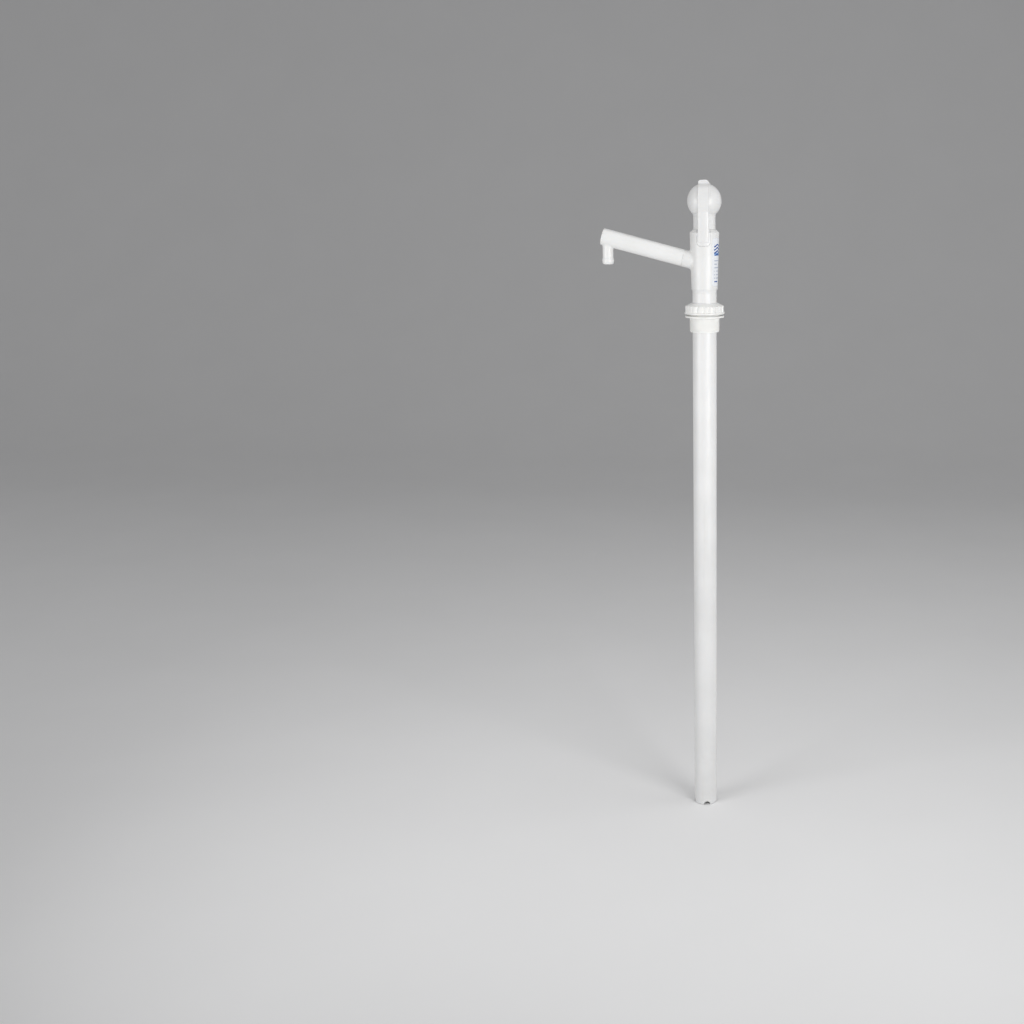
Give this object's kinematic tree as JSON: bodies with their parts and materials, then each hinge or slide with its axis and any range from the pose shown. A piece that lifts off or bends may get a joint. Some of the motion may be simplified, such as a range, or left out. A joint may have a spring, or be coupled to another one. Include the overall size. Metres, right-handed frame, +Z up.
{
  "type": "drum barrel pump",
  "caption": "Hand lift pump for a drum: ball pull knob, angled spout with a drop nozzle, long suction tube, and a sliding bung adapter with a clamp nut.",
  "frame": {"origin": "on the suction tube's axis, at the underside of the bung adapter's flange", "axes": "+Z up along the suction tube, -X along the spout, the knob's key band faces -Y and +Y"},
  "size_m": [0.2483, 0.0804, 1.3232],
  "materials": {
    "knob_plastic": "satin moulded white PVC",
    "head_plastic": "satin moulded white PVC",
    "pipe_plastic": "satin extruded white PVC pipe",
    "spout_plastic": "satin extruded white PVC pipe",
    "nut_plastic": "satin moulded white PVC",
    "adapter_plastic": "satin moulded white polypropylene",
    "label_film": null,
    "inner_plastic": "machined off-white plastic",
    "rod_plastic": "extruded white PVC pipe",
    "seal_rubber": "black nitrile rubber",
    "pin_steel": "ground stainless steel"
  },
  "bodies": {
    "adapter": {"bung_adapter": "adapter_plastic"},
    "nut_carrier": {"thrust_washer": "inner_plastic"},
    "nut": {"clamp_nut": "nut_plastic"},
    "grip": {"grip_collet": "inner_plastic"},
    "barrel": {"suction_tube": "pipe_plastic", "pump_head": "head_plastic", "label": "label_film", "head_guide_bush": "inner_plastic", "rod_oring": "seal_rubber", "spout_tube": "spout_plastic", "spout_end_cap": "spout_plastic", "spout_nozzle": "spout_plastic", "foot_valve_body": "inner_plastic", "foot_valve_oring": "seal_rubber", "foot_valve_cage": "inner_plastic"},
    "plunger": {"pull_knob": "knob_plastic", "knob_hub": "inner_plastic", "knob_pin": "pin_steel", "piston_rod": "rod_plastic", "rod_stop_collar": "inner_plastic", "piston_pin": "pin_steel", "piston_seat": "inner_plastic", "piston_cup_seal": "seal_rubber", "piston_cage": "inner_plastic"},
    "piston_ball": {"piston_valve_ball": "inner_plastic"},
    "foot_ball": {"foot_valve_ball": "inner_plastic"}
  },
  "joints": [
    {"name": "nut_lift", "type": "slide", "parent": "adapter", "child": "nut_carrier", "axis": [0, 0, 1], "range_m": [0, 0.006]},
    {"name": "nut_turn", "type": "hinge", "parent": "nut_carrier", "child": "nut", "pos_m": [0, 0, 0], "axis": [0, 0, 1], "range_deg": [0, 720]},
    {"name": "spout_swivel", "type": "hinge", "parent": "adapter", "child": "grip", "pos_m": [0, 0, 0], "axis": [0, 0, 1], "continuous": true},
    {"name": "height_adjust", "type": "slide", "parent": "grip", "child": "barrel", "axis": [0, 0, 1], "range_m": [-0.016, 0.95]},
    {"name": "handle_pull", "type": "slide", "parent": "barrel", "child": "plunger", "axis": [0, 0, 1], "range_m": [0, 0.45]},
    {"name": "piston_valve", "type": "slide", "parent": "plunger", "child": "piston_ball", "axis": [0, 0, 1], "range_m": [0, 0.006]},
    {"name": "foot_valve", "type": "slide", "parent": "barrel", "child": "foot_ball", "axis": [0, 0, 1], "range_m": [0, 0.006]}
  ],
  "couplings": [
    {"joint": "nut_lift", "follows": "nut_turn", "m_per_rad": 0.00047746}
  ]
}
